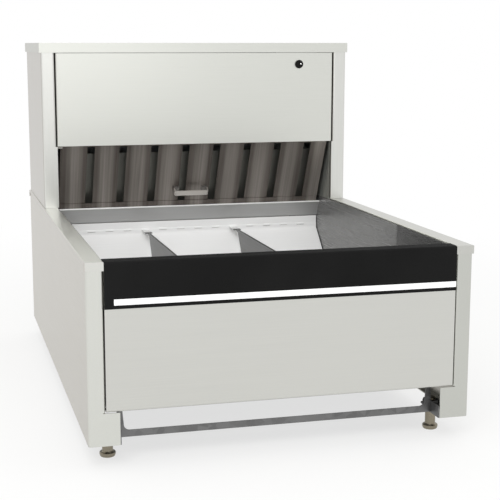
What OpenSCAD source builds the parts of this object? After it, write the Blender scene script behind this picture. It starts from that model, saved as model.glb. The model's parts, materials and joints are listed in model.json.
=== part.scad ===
/* [Overall] */
// Width over the rail caps
body_w = 457; // [380:1:600]
// Depth of the base, front tab to rear tab
body_d = 678; // [650:1:760]
// Height of the base above its bottom edge
base_h = 208; // [200:1:230]
// Depth of the hood, from its front to the rear
hood_d = 232; // [224:1:260]
// Height of the hood above the base
hood_h = 233.6; // [230:0.1:270]
// Height of the base's bottom edge above the counter
foot_h = 27; // [22:0.5:40]

/* [Sheet metal] */
// Thickness of the outer sheets
skin = 1.2; // [0.9:0.1:1.5]
// Thickness of the rail caps, the fascia and the hood cap
cap_t = 1; // [0.8:0.1:1.2]
// Thickness of the inner sheets
liner = 0.9; // [0.7:0.1:1.2]
// Inside radius of a bend
bend_r = 1.4; // [0.8:0.1:2]
// Gap between two sheets that lie on each other
lay = 0.15; // [0.1:0.05:0.3]

/* [Rails and posts] */
// Width of a rail cap
rail_w = 21.4; // [18:0.2:26]
// Height of the front tab of a rail cap
tab_h = 10; // [6:0.5:14]
// Width of a post below the front panel
post_w = 36.8; // [32:0.2:44]

/* [Front] */
// Height of the front panel's lower edge
sill_z = 38.5; // [34:0.5:38.5]
// Height of the black fascia
fascia_h = 52.8; // [40:0.2:70]
// Depth of the fascia's top
fascia_lip = 20; // [14:0.5:24]
// Height of the toe rail
toe_h = 8; // [6:0.5:12]
// Distance of the toe rail behind the front
toe_y = 28; // [20:0.5:30]
// Radius where the toe rail's ears rise to the posts
toe_r = 7; // [4:0.5:10]
// Width of the toe rail's ears
ear_w = 8; // [6:0.5:12]

/* [Food screen] */
// Height of the food screen's underside
screen_z = 72; // [66:0.5:80]
// Thickness of the food screen
screen_t = 1; // [0.8:0.1:1.2]
// Slope of the screen's back in degrees
screen_slope = 42.8; // [38:0.2:50]
// Drop from the rail to the bend below the slotted flange
slope_drop = 53.4; // [50:0.2:60]
// Diameter of a screen hole
hole_d = 6; // [4:0.5:8]
// Distance between screen holes
hole_pitch = 17; // [14:0.5:24]
// Distance between the slots that hold the dividers
slot_pitch = 27.5; // [22:0.5:34]

/* [Dividers] */
// Drop from the rail to the dividers' top edge
divider_drop = 46.5; // [45:0.5:50]
// Number of slots from one divider to the other
slots_between = 5; // [3:2:7]

/* [Filter] */
// Lean of the filter from upright in degrees
filter_lean = 26.57; // [24:0.01:28]
// Gap between the filter and the hood's inner wall
filter_side = 5.4; // [3:0.2:12]
// Length of the filter along its lean
filter_l = 125.2; // [120:0.2:126]
// Thickness of the filter
filter_t = 18; // [16:0.5:20]
// Distance between the gaps of the front baffles
baffle_pitch = 46.8; // [40:0.2:54]
// Width of the gap between two front baffles
baffle_gap = 11.7; // [9:0.1:14]
// Drop from the rail to the filter's bottom edge
filter_drop = 20; // [18:0.5:22]

/* [Blower] */
// Outer radius of the blower wheel
wheel_r = 46; // [40:0.5:50]
// Height of the blower wheel
wheel_h = 42; // [36:0.5:46]
// Number of blades on the wheel
blades = 30; // [18:1:40]
// Place of the blower across the hood
blower_x = -70; // [-80:1:-50]
// Radius of the motor
motor_r = 40; // [32:0.5:44]
// Room above the motor
motor_room = 10.6; // [6:0.2:16]

/* [Heater and controls] */
// Radius of the heater tube
tube_r = 4; // [3:0.25:4.5]
// Distance between the runs of the heater tube
run_pitch = 25; // [22:0.5:28]
// Radius of the thermostat knob
knob_r = 17; // [13:0.5:19]
// Bore of the cable gland
gland_bore_r = 4.5; // [3.5:0.1:5]

/* [Access panel] */
// Height of the access panel's lower edge above the rail
access_rise = 88; // [86:0.5:89]
// Radius of the lock's face
lock_r = 6.2; // [5.5:0.1:8]
// Distance of the lock from the panel's edge
lock_in = 52.7; // [40:0.1:80]

/* [Feet] */
// Radius of a foot's stem
stem_r = 6.35; // [5:0.05:8]
// Radius of a foot's flange
foot_flange_r = 9.4; // [8:0.1:14]
// Distance of a foot from the side
foot_in = 28.5; // [25:0.5:31]
// Distance of the front feet from the front and the rear feet from the rear
foot_y = 47; // [44:0.5:60]

/* [Hidden] */
$fn = 48;

// Frames: the base's bottom edge is z = 0 and its front y = 0 inside the modules
half_w = body_w / 2;
half_d = body_d / 2;
hood_y = body_d - hood_d;
foot_x = half_w - foot_in;
hair = 0.1;
running = 0.05;
rail_in = half_w - rail_w;
skin_x = half_w - cap_t - hair;
face_y = cap_t + hair;
rear_y = body_d - cap_t - hair;
panel_half = rail_in - hair;
neck_x = rail_in + cap_t + hair;
post_x = half_w - post_w;
side_top_z = base_h - 1.5 * cap_t;
cap_slot = [rail_in - hair, neck_x];
cap_slot_z = base_h - tab_h - hair;
wall_x = rail_in - hair - liner;
inner_half = wall_x - 0.2;

// Rear jamb: the rear panels sit in a recess, so that the gland stays inside the outline
jamb_w = 10;
jamb_deep = 14;
jamb_flange = 16;
jamb_x = skin_x - skin - jamb_w;
flange_y = rear_y - jamb_deep;
rear_panel_y = flange_y + skin / 2 + hair;
inner_rear_y = flange_y - skin / 2 - lay;
rear_half = jamb_x - skin / 2 - bend_r - 2 * hair;
screw_x = rear_half - 4;
screw_r = 1.9;
screw_head_r = 3.6;
screw_head_h = 2.2;

// Plenum and basin
slope_top_z = base_h - slope_drop;
divider_top_z = base_h - divider_drop;
filter_z = base_h - filter_drop;
floor_z = sill_z + 2.5;
front_wall_y = fascia_lip + 0.4;
slope_dir = [cos(screen_slope), sin(screen_slope)];
flange_back_y = hood_y + 67.9;
screen_mid_z = screen_z + screen_t / 2;
slope_foot_y = flange_back_y - (slope_top_z - screen_mid_z) / tan(screen_slope);
screen_front_top = [front_wall_y + liner + 3.1, divider_top_z - 11.5];
screen_front_foot = [front_wall_y + liner + 11.7, screen_mid_z];
screen_half = wall_x - 1.2;
screen_bend_r = 6;
slot_w = 12;
slot_h = 2.6;
slot_z = slope_top_z + 5.4;
divider_x = slot_pitch * slots_between / 2;
divider_t = 1.2;
hem_r = 1.4;

// Filter: its own frame has z along the lean and y through its thickness
filter_w = 2 * (wall_x - filter_side);
filter_front_y = hood_y + 14 + (78 + filter_drop) * tan(filter_lean);
frame_t = 0.9;
baffle_t = 0.7;
bottom_band = 20;
top_band = 7;
first_gap_in = 44.4;
first_gap_x = first_gap_in - filter_w / 2;
rear_baffle_top = 97;
handle_x = -4;
handle_rise = 37.5;
filter_lift = 12;
hem_top_z = filter_z + 10.6;
deck_low_z = slope_top_z + 19.85;
filter_top_z = filter_z + filter_l * cos(filter_lean) + filter_t * sin(filter_lean);

// Hood
access_z = base_h + access_rise;
hood_z = base_h + lay;
hood_top_z = base_h + hood_h;
cap_skirt = 13.8;
cap_set_in = 2.2;
hood_skin_x = half_w - cap_set_in;
hood_face_y = hood_y + cap_t + hair;
hood_side_top = hood_top_z - cap_t - lay;
access_half = rail_in - 1.1;
hood_neck_x = access_half + 1.4;
access_top_z = hood_top_z - cap_skirt - 0.6;
hinge_in = 4;
hinge_x = access_half - hinge_in;
hinge_y = hood_face_y + hinge_in;
pin_r = 2;
pin_gap = 0.02;
tab_z = access_z - 1.6;
return_d = 7;
lock_x = access_half - lock_in;
lock_z = access_top_z - 16.6;
barrel_r = lock_r - 1;
plug_r = lock_r - 2.1;
cam_y = hood_face_y + 14.2;
deck_z = max(filter_top_z + filter_lift + 1.3, access_z + 24);
deck_t = 1.2;
duct_y = body_d - 78;
chase_w = 86;
duct_x = inner_half - chase_w;

// Blower
blower_y = duct_y - 67;
housing_h = wheel_h + 14;
housing_z = deck_z + deck_t + hair;
scroll_start = wheel_r + 5;
scroll_growth = 24;
scroll_from = 60;
full_turn = 360;
eye_r = wheel_r - 8;
lid_z = housing_z + housing_h + hair;
lid_t = 1.2;
shaft_r = 3;
motor_z = lid_z + lid_t + 8;
motor_h = hood_top_z - cap_t - motor_room - motor_z;
wheel_z = housing_z + 6;

// Heater
runs = 4;
heater_y = duct_y + 32;
heater_z = deck_z - 102;
heater_left = 28 - inner_half;
heater_far = duct_x - 22;
heater_right = heater_far - 38;
terminal_z = deck_z + 20;
clip_xs = [heater_left + 58, heater_right - 60];
limit_x = 30;
limit_z = deck_z + 62;

// Controls
bracket_y = hood_y + 34;
bracket_w = 122;
bracket_x0 = hinge_x - bracket_w - 8;
bracket_h = 72;
control_z = deck_z + deck_t + 40;
knob_x = bracket_x0 + 34;
rocker_x = bracket_x0 + 90;
rocker_tilt = 9;
rocker_w = 13.2;
rocker_h = 25.6;
housing_w = 17.6;
bracket_t = 1.5;
collar_r = 4.8;
gland_x = rear_half - 49;
gland_z = hood_z + 32;
vent_rows = 7;
vent_pitch = 11;
vent_w = 30;
vent_h = 4.5;
vent_x = rear_half - 84;
vent_z = deck_z + 20;

function unit(v) = v / norm(v);
function about(middle, half) = [middle - half, middle + half];
function perp(v) = [-v[1], v[0]];
function turn(a, b) = a[0] * b[1] - a[1] * b[0];
function filter_y(z) = filter_front_y - (z - filter_z) * tan(filter_lean);

// Everything is drawn with the base's front bottom edge at the origin, then moved to stand on the counter
module in_body() {
    translate([0, -half_d, foot_h]) children();
}
// A profile in y and z, drawn out along x about the middle
module across(w) {
    rotate([90, 0, 90]) linear_extrude(w, center = true) children();
}
// A profile in x and z, drawn out along y
module along(y0, l) {
    translate([0, y0 + l, 0]) rotate([90, 0, 0]) linear_extrude(l) children();
}
module left() {
    mirror([1, 0, 0]) children();
}
module pair() {
    children();
    left() children();
}
module box(x, y, z) {
    translate([x[0], y[0], z[0]]) cube([x[1] - x[0], y[1] - y[0], z[1] - z[0]]);
}
// A round bar along y
module rod(r, y, fn = 32) {
    translate([0, y[0], 0]) rotate([-90, 0, 0]) cylinder(r = r, h = y[1] - y[0], $fn = fn);
}

// Folded sheet: flat strips along a path, joined by round bends
module strip(a, b, t) {
    s = perp(unit(b - a)) * t / 2;
    polygon([a - s, b - s, b + s, a + s]);
}
module bend(p, d_in, d_out, trim, r, t) {
    side = turn(d_in, d_out) > 0 ? 1 : -1;
    c = p - d_in * trim + side * perp(d_in) * r;
    from = -side * perp(d_in);
    to = -side * perp(d_out);
    far = 2 * (r + t);
    intersection() {
        translate(c) difference() {
            circle(r + t / 2);
            circle(r - t / 2);
        }
        polygon([c, c + far * from, c + 1.2 * far * unit(from + to), c + far * to]);
    }
}
module fold(path, t, r_in) {
    n = len(path);
    r = r_in + t / 2;
    dirs = [for (i = [0:n - 2]) unit(path[i + 1] - path[i])];
    trims = [for (i = [0:n - 1]) i == 0 || i == n - 1 ? 0 : r * tan(acos(dirs[i - 1] * dirs[i]) / 2)];
    for (i = [0:n - 2]) strip(path[i] + dirs[i] * trims[i], path[i + 1] - dirs[i] * trims[i + 1], t);
    for (i = [1:n - 2]) bend(path[i], dirs[i - 1], dirs[i], trims[i], r, t);
}

// Creased sheet: the same path with sharp mitred corners
function mitre(d_in, d_out) = (perp(d_in) + perp(d_out)) / (1 + d_in * d_out);
module crease(path, t) {
    n = len(path);
    dirs = [for (i = [0:n - 2]) unit(path[i + 1] - path[i])];
    sides = [for (i = [0:n - 1]) mitre(dirs[max(i - 1, 0)], dirs[min(i, n - 2)]) * t / 2];
    polygon(concat([for (i = [0:n - 1]) path[i] + sides[i]], [for (i = [n - 1:-1:0]) path[i] - sides[i]]));
}

// Plan of a side: neck return, post face, outer wall, recessed rear jamb
module side_plan(neck, outer, y_face) {
    fold([[neck + skin / 2, y_face + 14], [neck + skin / 2, y_face + skin / 2],
        [outer - skin / 2, y_face + skin / 2], [outer - skin / 2, rear_y - skin / 2],
        [jamb_x, rear_y - skin / 2], [jamb_x, flange_y], [jamb_x - jamb_flange, flange_y]], skin, bend_r);
}
module screw_holes(zs) {
    for (z = zs) translate([screw_x, 0, z]) rod(screw_r + 0.2, [flange_y - 4, rear_panel_y + 4], 24);
}
base_screw_zs = [24, base_h / 2, base_h - 22];
hood_screw_zs = [hood_z + 16, hood_z + hood_h / 2, hood_top_z - 24];

module side_panel() {
    low_post_top = sill_z - 0.9;
    relief = [panel_half - 2, neck_x + 2.2];
    in_body() difference() {
        union() {
            linear_extrude(side_top_z) side_plan(neck_x, skin_x, face_y);
            box([post_x, neck_x + 4], [face_y, face_y + skin], [0, low_post_top]);
            box([skin_x - 12, skin_x - skin / 2], [face_y + 3, flange_y - 2], [0, skin]);
        }
        box(relief, [face_y - 1, face_y + 2.4], [low_post_top, sill_z]);
        box(cap_slot, about(flange_y, skin), [cap_slot_z, base_h]);
        screw_holes(base_screw_zs);
    }
}
module side_panel_right() {
    color("#cfcdc8") side_panel();
}
module side_panel_left() {
    color("#cfcdc8") left() side_panel();
}

module rail_cap() {
    in_body() {
        along(0, body_d)
            fold([[rail_in + cap_t / 2, base_h - tab_h], [rail_in + cap_t / 2, base_h - cap_t / 2],
                [half_w - cap_t / 2, base_h - cap_t / 2], [half_w - cap_t / 2, base_h - 3.4]], cap_t, cap_t / 2);
        for (y = [0, body_d - cap_t])
            box([rail_in, half_w], [y, y + cap_t], [base_h - tab_h, base_h - cap_t / 2]);
    }
}
module rail_cap_right() {
    color("#dcdcd7") rail_cap();
}
module rail_cap_left() {
    color("#dcdcd7") left() rail_cap();
}

module front_panel() {
    top_z = base_h - 2.4;
    mid_y = face_y + skin / 2;
    color("#cdcdc8") in_body() {
        across(2 * panel_half)
            fold([[17, sill_z + skin / 2], [mid_y, sill_z + skin / 2], [mid_y, top_z - skin / 2],
                [17, top_z - skin / 2]], skin, bend_r);
        pair() box([panel_half - skin, panel_half], [mid_y, 13], [sill_z + 4, top_z - 4]);
    }
}
module fascia() {
    color("#262626") in_body() across(2 * panel_half)
        fold([[cap_t / 2, base_h - fascia_h], [cap_t / 2, base_h - cap_t / 2], [fascia_lip, base_h - cap_t / 2]],
            cap_t, bend_r);
}
module toe_rail() {
    ear_x = post_x - hair;
    ear_y = face_y + skin + lay;
    ear_z = toe_h + toe_r;
    color("#6e6e6e") in_body() {
        box([-ear_x, ear_x], [toe_y, toe_y + skin], [0, toe_h]);
        box([-ear_x + 14, ear_x - 14], [toe_y, toe_y + 18], [0, skin]);
        pair() box([ear_x - skin, ear_x], [ear_y, toe_y + skin], [0, ear_z]);
        pair() along(toe_y, skin) difference() {
            polygon([[ear_x, 0], [ear_x, sill_z - 2], [ear_x - ear_w + 2, sill_z - 2], [ear_x - ear_w, ear_z],
                [ear_x - ear_w - toe_r, ear_z], [ear_x - ear_w - toe_r, 0]]);
            translate([ear_x - ear_w - toe_r, ear_z]) circle(toe_r);
        }
    }
}

// Feet: a plate with a welded nut lies on each side panel's bottom flange and holds the threaded stem
module foot_nut_plates() {
    z0 = skin + hair;
    nut_z = z0 + 2.5;
    x = [post_x + 1, skin_x - skin - bend_r - 1];
    color("#8c8c8c") in_body() for (mx = [0, 1]) mirror([mx, 0, 0]) for (y = [foot_y, body_d - foot_y])
        difference() {
            union() {
                box(x, [y - 16, y + 13], [z0, nut_z]);
                translate([foot_x, y, nut_z]) cylinder(r = stem_r + 4.5, h = 6, $fn = 6);
            }
            translate([foot_x, y, 0]) cylinder(r = stem_r + running, h = 20);
        }
}
module foot(sx, y) {
    r = foot_flange_r;
    color("#8b8474") in_body() translate([sx * foot_x, y, -foot_h])
        rotate_extrude() polygon([[0, 0], [r - 1.4, 0], [r - 0.6, 0.8], [r - 0.6, 1.8], [r, 2.6], [r, 4.8],
            [r - 0.8, 5.6], [stem_r + 0.8, 5.6], [stem_r, 6.6], [stem_r, foot_h + 12],
            [stem_r - 1, foot_h + 13], [0, foot_h + 13]]);
}
module foot_front_left() { foot(-1, foot_y); }
module foot_front_right() { foot(1, foot_y); }
module foot_rear_left() { foot(-1, body_d - foot_y); }
module foot_rear_right() { foot(1, body_d - foot_y); }

// Basin and plenum
module basin_wall() {
    in_body() along(front_wall_y, inner_rear_y - front_wall_y)
        fold([[wall_x + liner / 2, base_h - 2], [wall_x + liner / 2, floor_z - 0.6], [wall_x - 12, floor_z - 0.6]],
            liner, bend_r);
}
module basin_wall_right() {
    color("#7f7f7f") basin_wall();
}
module basin_wall_left() {
    color("#7f7f7f") left() basin_wall();
}
module basin_front_wall() {
    top_z = base_h - cap_t - 0.8;
    color("#8a8a8a") in_body() across(2 * (inner_half - bend_r))
        fold([[front_wall_y + liner / 2, floor_z], [front_wall_y + liner / 2, top_z], [8, top_z]], liner, bend_r);
}
module plenum_floor() {
    y0 = front_wall_y + liner + 0.6;
    y1 = inner_rear_y - 0.6;
    z = floor_z + liner / 2;
    color("#8a8a8a") in_body() across(2 * (inner_half - bend_r - liner))
        fold([[y0, z + 11], [y0, z], [y1, z], [y1, z + 11]], liner, bend_r);
}
module screen_ledges() {
    x = wall_x - hair - liner / 2;
    z = screen_z - 0.05 - liner / 2;
    color("#8a8a8a") in_body() pair() along(front_wall_y + 40, slope_foot_y - front_wall_y - 60)
        fold([[x, z - 12], [x, z], [x - 11, z]], liner, bend_r);
}
module food_screen() {
    first_y = screen_front_foot[0] + 18;
    rows = floor((slope_foot_y - 14 - first_y) / hole_pitch);
    columns = floor((2 * screen_half - 30) / hole_pitch);
    slots = 2 * floor((screen_half - slot_w) / slot_pitch);
    color("#e2e2e2") in_body() difference() {
        across(2 * screen_half)
            fold([screen_front_top, screen_front_foot, [slope_foot_y, screen_mid_z],
                [flange_back_y, slope_top_z], [flange_back_y, deck_low_z - 1]], screen_t, screen_bend_r);
        translate([0, 0, screen_z - 1]) linear_extrude(screen_t + 2) for (i = [0:rows])
            for (k = [0:columns - i % 2])
                translate([(k - (columns - i % 2) / 2) * hole_pitch, first_y + i * hole_pitch])
                    circle(d = hole_d, $fn = 16);
        for (k = [0:slots - 1]) translate([(k - (slots - 1) / 2) * slot_pitch, flange_back_y, slot_z])
            cube([slot_w, 3 * screen_t, slot_h], center = true);
    }
}
// Divider: its rear edge rises steeper than the screen's slope and ends in a tongue that hooks into a slot
module divider(x) {
    bottom_z = screen_z + screen_t + 0.3;
    neck_y = flange_back_y - 36;
    tip_y = flange_back_y - 26;
    lean = unit(screen_front_foot - screen_front_top);
    front_at = function(z) screen_front_foot[0] + 7 + (bottom_z - z) * -lean[0] / lean[1];
    top_z = divider_top_z - hem_r;
    color("#8e8e8e") in_body() translate([x, 0, 0]) {
        across(divider_t) polygon([[front_at(bottom_z), bottom_z], [slope_foot_y - 6, bottom_z],
            [neck_y, slot_z - 6], [neck_y + 1, slot_z - 4], [tip_y, slot_z - 2.4], [tip_y, slot_z],
            [neck_y + 3, top_z], [front_at(divider_top_z), top_z]]);
        translate([0, 0, top_z]) rod(hem_r, [front_at(divider_top_z), neck_y + 3]);
        box([-slot_w / 2 + 0.8, slot_w / 2 - 0.8], [tip_y - 4, flange_back_y + 7], about(slot_z, divider_t / 2));
    }
}
module divider_left() { divider(-divider_x); }
module divider_right() { divider(divider_x); }

// Rectangle with round corners
module round_rect(size, r) {
    square([size[0], size[1] - 2 * r], center = true);
    square([size[0] - 2 * r, size[1]], center = true);
    for (sx = [-1, 1]) for (sy = [-1, 1])
        translate([sx * (size[0] / 2 - r), sy * (size[1] / 2 - r)]) circle(r);
}
module crumb_tray() {
    size = [2 * inner_half - 52, slope_foot_y - front_wall_y - 70];
    corner = 14;
    depth = 13;
    rim = 5;
    color("#b8b8b4") in_body()
        translate([0, (slope_foot_y + front_wall_y) / 2, floor_z + liner + 0.3]) {
            difference() {
                linear_extrude(depth) round_rect(size, corner);
                translate([0, 0, liner]) linear_extrude(depth)
                    round_rect(size - [2 * liner, 2 * liner], corner - liner);
            }
            translate([0, 0, depth - liner]) linear_extrude(liner) difference() {
                round_rect(size + [2 * rim, 2 * rim], corner + rim);
                round_rect(size - [2 * liner, 2 * liner], corner - liner);
            }
        }
}
module base_rear_panel() {
    color("#c6c4c0") in_body() difference() {
        box([-rear_half, rear_half], [rear_panel_y, rear_panel_y + skin], [0.5, side_top_z - 1]);
        pair() box(cap_slot, about(rear_panel_y, 2 * skin), [cap_slot_z, base_h]);
        pair() screw_holes(base_screw_zs);
    }
}

// Filter and what holds it
module at_filter() {
    in_body() translate([0, filter_front_y, filter_z]) rotate([filter_lean, 0, 0]) children();
}
module filter_ledge() {
    off = (hair + liner / 2 + 1) / cos(filter_lean);
    low_z = deck_low_z;
    strip_y = function(z) filter_y(z) - off;
    color("#9a9a9a") in_body() across(2 * inner_half) {
        fold([[strip_y(hem_top_z - hem_r), hem_top_z - hem_r], [strip_y(low_z), low_z], [duct_y - 0.2, low_z]],
            liner, liner);
        translate([strip_y(hem_top_z - hem_r), hem_top_z - hem_r]) circle(hem_r);
    }
}
module filter_rest() {
    leg_t = 0.8;
    y = -hair - leg_t / 2 - 0.1;
    color("#8a8a8a") at_filter() across(2 * inner_half)
        fold([[y, -11], [y, -0.1 - leg_t / 2], [filter_t + 3, -0.1 - leg_t / 2]], leg_t, leg_t);
}
module filter_channel() {
    front_y = hood_face_y + 4.7;
    color("#8a8a8a") in_body() across(2 * (hinge_x - 10))
        fold([[front_y, access_z + 2.4], [front_y, deck_z - 0.2 - liner / 2],
            [front_y + 24, deck_z - 0.2 - liner / 2]], liner, liner);
}
module filter_frame() {
    side_band = 3.6;
    half = filter_w / 2;
    color("#5f5a55") at_filter() difference() {
        box([-half, half], [0, filter_t], [0, filter_l]);
        box([-half + frame_t, half - frame_t], [frame_t, filter_t - frame_t], [frame_t, filter_l - frame_t]);
        box([-half + side_band, half - side_band], [-1, filter_t + 1], [bottom_band, filter_l - top_band]);
    }
}
// Front baffle: a flat with two returns that lean in behind it
module front_baffle(x0, x1) {
    y0 = frame_t + hair + baffle_t / 2;
    deep = filter_t / 2 - 0.5;
    lean_in = 1.5;
    crease([[x0 + lean_in, deep], [x0, y0], [x1, y0], [x1 - lean_in, deep]], baffle_t);
}
module up_filter(top) {
    z0 = frame_t + hair;
    at_filter() translate([0, 0, z0]) linear_extrude(top - z0) children();
}
baffle_count = floor((filter_w / 2 - first_gap_x) / baffle_pitch) + 1;
module front_baffles() {
    width = baffle_pitch - baffle_gap;
    limit = filter_w / 2 - frame_t - 0.6;
    color("#6b6660") up_filter(filter_l - frame_t - hair) for (i = [0:baffle_count]) {
        x0 = first_gap_x + (i - 1) * baffle_pitch + baffle_gap / 2;
        if (x0 + 12 < limit) front_baffle(max(x0, -limit), min(x0 + width, limit));
    }
}
module rear_baffles() {
    half = baffle_gap / 2 + 7;
    y0 = filter_t / 2 + 0.5;
    y1 = filter_t - frame_t - hair - baffle_t / 2;
    color("#5a5550") up_filter(rear_baffle_top) for (i = [0:baffle_count - 1]) {
        x = first_gap_x + i * baffle_pitch;
        if (x + half < filter_w / 2 - 2)
            crease([[x - half, y0], [x - half, y1], [x + half, y1], [x + half, y0]], baffle_t);
    }
}
// Handle: one bent strap, welded to two of the front baffles
module filter_handle() {
    half = 26;
    t = 1.5;
    reach = 13;
    height = 8;
    back = frame_t;
    color("#938e89") at_filter() translate([handle_x, 0, handle_rise]) linear_extrude(height)
        for (side = [0, 1]) mirror([side, 0])
            fold([[0, t / 2 - reach], [half - t / 2, t / 2 - reach], [half - t / 2, back - t / 2],
                [half - 9, back - t / 2]], t, t);
}

// Hood
module hood_side() {
    low_top = access_z - 0.6;
    in_body() difference() {
        union() {
            translate([0, 0, hood_z]) linear_extrude(hood_side_top - hood_z)
                side_plan(hood_neck_x, hood_skin_x, hood_face_y);
            box([rail_in - 1.3, hood_neck_x + 3], [hood_face_y, hood_face_y + skin], [hood_z, low_top]);
            box([hood_skin_x - 12, hood_skin_x - skin / 2], [hood_face_y + 3, flange_y - 2], [hood_z, hood_z + skin]);
        }
        screw_holes(hood_screw_zs);
    }
}
module hood_side_right() {
    color("#d2d1cc") hood_side();
}
// The left side also carries the tab for the access panel's lower pin
module hood_side_left() {
    color("#d2d1cc") left() {
        hood_side();
        in_body() difference() {
            box([hinge_x - pin_r - 1.4, hood_neck_x + skin / 2], [hood_face_y + skin + 0.4, hinge_y + pin_r + 1.4],
                [tab_z - skin, tab_z]);
            translate([hinge_x, hinge_y, tab_z - 2 * skin]) cylinder(r = pin_r + pin_gap, h = 3 * skin);
        }
    }
}
module hood_top() {
    color("#dadad5") in_body() difference() {
        box([-half_w, half_w], [hood_y, body_d], [hood_top_z - cap_skirt, hood_top_z]);
        box([-half_w + cap_t, half_w - cap_t], [hood_y + cap_t, body_d - cap_t],
            [hood_top_z - cap_skirt - 1, hood_top_z - cap_t]);
    }
}
rail_low_z = access_top_z + 1.3;
module hood_rail() {
    y0 = hood_face_y + 0.3 + skin / 2;
    strike = [lock_x - 32, lock_x + 32];
    z = rail_low_z + skin / 2;
    color("#8a8a8a") in_body() difference() {
        union() {
            across(2 * (hood_neck_x - 0.2))
                fold([[y0, hood_side_top - 0.2], [y0, z], [y0 + 11.4, z]], skin, skin);
            box(strike, [y0 + 10.8, y0 + 12], [rail_low_z - 6.6, z]);
        }
        translate([-hinge_x, hinge_y, rail_low_z - 1]) cylinder(r = pin_r + pin_gap, h = 4);
    }
}
// Liner: beside the filter up to the deck, and full height along the duct
module hood_liner() {
    y0 = hood_face_y + 12;
    low = base_h - 1.7;
    in_body() translate([wall_x + liner / 2, 0, 0]) across(liner)
        polygon([[y0, low], [inner_rear_y, low], [inner_rear_y, hood_side_top - 0.5],
            [duct_y + 0.1, hood_side_top - 0.5], [duct_y + 0.1, deck_z - 0.1], [y0, deck_z - 0.1]]);
}
module hood_liner_right() {
    color("#56564f") hood_liner();
}
module hood_liner_left() {
    color("#56564f") left() hood_liner();
}
module blower_deck() {
    color("#8a8a8a") in_body() difference() {
        box([-wall_x - liner, wall_x + liner], [hood_face_y + 5, duct_y - 0.2], [deck_z, deck_z + deck_t]);
        translate([blower_x, blower_y, deck_z - 1]) cylinder(r = eye_r + 4.2, h = 4);
        pair() box([hinge_x - 10, half_w], [hood_y, hood_face_y + 16], [deck_z - 1, deck_z + 3]);
    }
}
// Bellmouth that leads the air from under the deck into the wheel's eye
module inlet_ring() {
    t = 1;
    r = 6;
    color("#a9a9a4") in_body() translate([blower_x, blower_y, deck_z]) rotate_extrude() {
        translate([eye_r + r - t, 0]) intersection() {
            difference() {
                circle(r);
                circle(r - t);
            }
            translate([-r, -r]) square([r, r]);
        }
        translate([eye_r - t, 0]) square([t, deck_t + 5]);
        translate([eye_r + r - t, -r]) square([8, t]);
        translate([eye_r + r + 3, -r]) square([t, r - 0.1]);
    }
}
function scroll_r(a) = scroll_start + (a - scroll_from) / (full_turn - scroll_from) * scroll_growth;
function scroll(inset) = concat(
    [for (a = [scroll_from:10:full_turn]) (scroll_r(a) - inset) * [cos(a), sin(a)]],
    [[scroll_r(full_turn) - inset, duct_y - blower_y - 0.2],
        [scroll_r(scroll_from) * cos(scroll_from) + inset, duct_y - blower_y - 0.2]]);
module blower_housing() {
    t = 1;
    rim = 4;
    color("#a0a09b") in_body() translate([blower_x, blower_y, housing_z]) {
        linear_extrude(housing_h) difference() {
            polygon(scroll(0));
            polygon(scroll(t));
            translate([scroll_r(scroll_from) * cos(scroll_from) + t, duct_y - blower_y - 12])
                square([scroll_r(full_turn) - scroll_r(scroll_from) * cos(scroll_from) - 2 * t, 20]);
        }
        linear_extrude(t) difference() {
            polygon(scroll(-rim));
            polygon(scroll(t));
        }
    }
}
module blower_lid() {
    color("#a9a9a4") in_body() translate([blower_x, blower_y, lid_z]) linear_extrude(lid_t) difference() {
        polygon(scroll(-2));
        circle(9);
    }
}
// Forward-curved wheel: a back disc, a front ring and a ring of bent blades
module blower_wheel() {
    t = 0.9;
    blade_in = wheel_r - 9;
    arc_r = 8;
    color("#b9b9b4") in_body() translate([blower_x, blower_y, wheel_z]) {
        translate([0, 0, wheel_h - 1.5]) difference() {
            cylinder(r = wheel_r, h = 1.5);
            cylinder(r = shaft_r, h = 4, center = true);
        }
        translate([0, 0, wheel_h - 14]) difference() {
            cylinder(r = 9, h = 13);
            translate([0, 0, -1]) cylinder(r = shaft_r, h = 16);
        }
        difference() {
            cylinder(r = wheel_r, h = 2);
            translate([0, 0, -1]) cylinder(r = blade_in, h = 4);
        }
        for (i = [0:blades - 1]) rotate(i * full_turn / blades) translate([0, 0, 1]) linear_extrude(wheel_h - 2)
            intersection() {
                translate([blade_in + 2.5, arc_r - 1]) difference() {
                    circle(arc_r, $fn = 24);
                    circle(arc_r - t, $fn = 24);
                }
                translate([blade_in + 0.4, -4]) square([wheel_r - blade_in - 0.8, 9]);
            }
        translate([0, 0, wheel_h - 12]) cylinder(r = shaft_r, h = motor_z + motor_h - wheel_z - wheel_h + 9);
    }
}
module motor() {
    color("#4a4d50") in_body() translate([blower_x, blower_y, motor_z]) difference() {
        rotate_extrude() polygon([[0, -4], [11, -4], [11, 0], [motor_r - 6, 2], [motor_r, 7],
            [motor_r, motor_h - 9], [motor_r - 6, motor_h - 4], [11, motor_h - 2], [11, motor_h], [0, motor_h]]);
        translate([0, 0, -5]) cylinder(r = shaft_r + running, h = motor_h + 10);
        for (i = [0:7]) rotate(i * 45 + 22.5) translate([motor_r - 1.6, 0, motor_h / 2 - 1])
            cube([6, 9, motor_h / 2 - 4], center = true);
    }
}
module motor_legs() {
    foot_r = motor_r + 9;
    z0 = lid_z + lid_t;
    color("#8c8c8c") in_body() translate([blower_x, blower_y, 0]) for (a = [45:90:315]) rotate(a) {
        box([motor_r + 0.1, motor_r + 1.7], [-7, 7], [z0, motor_z + 24]);
        box([motor_r + 0.1, foot_r], [-7, 7], [z0, z0 + 1.6]);
    }
}
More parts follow.
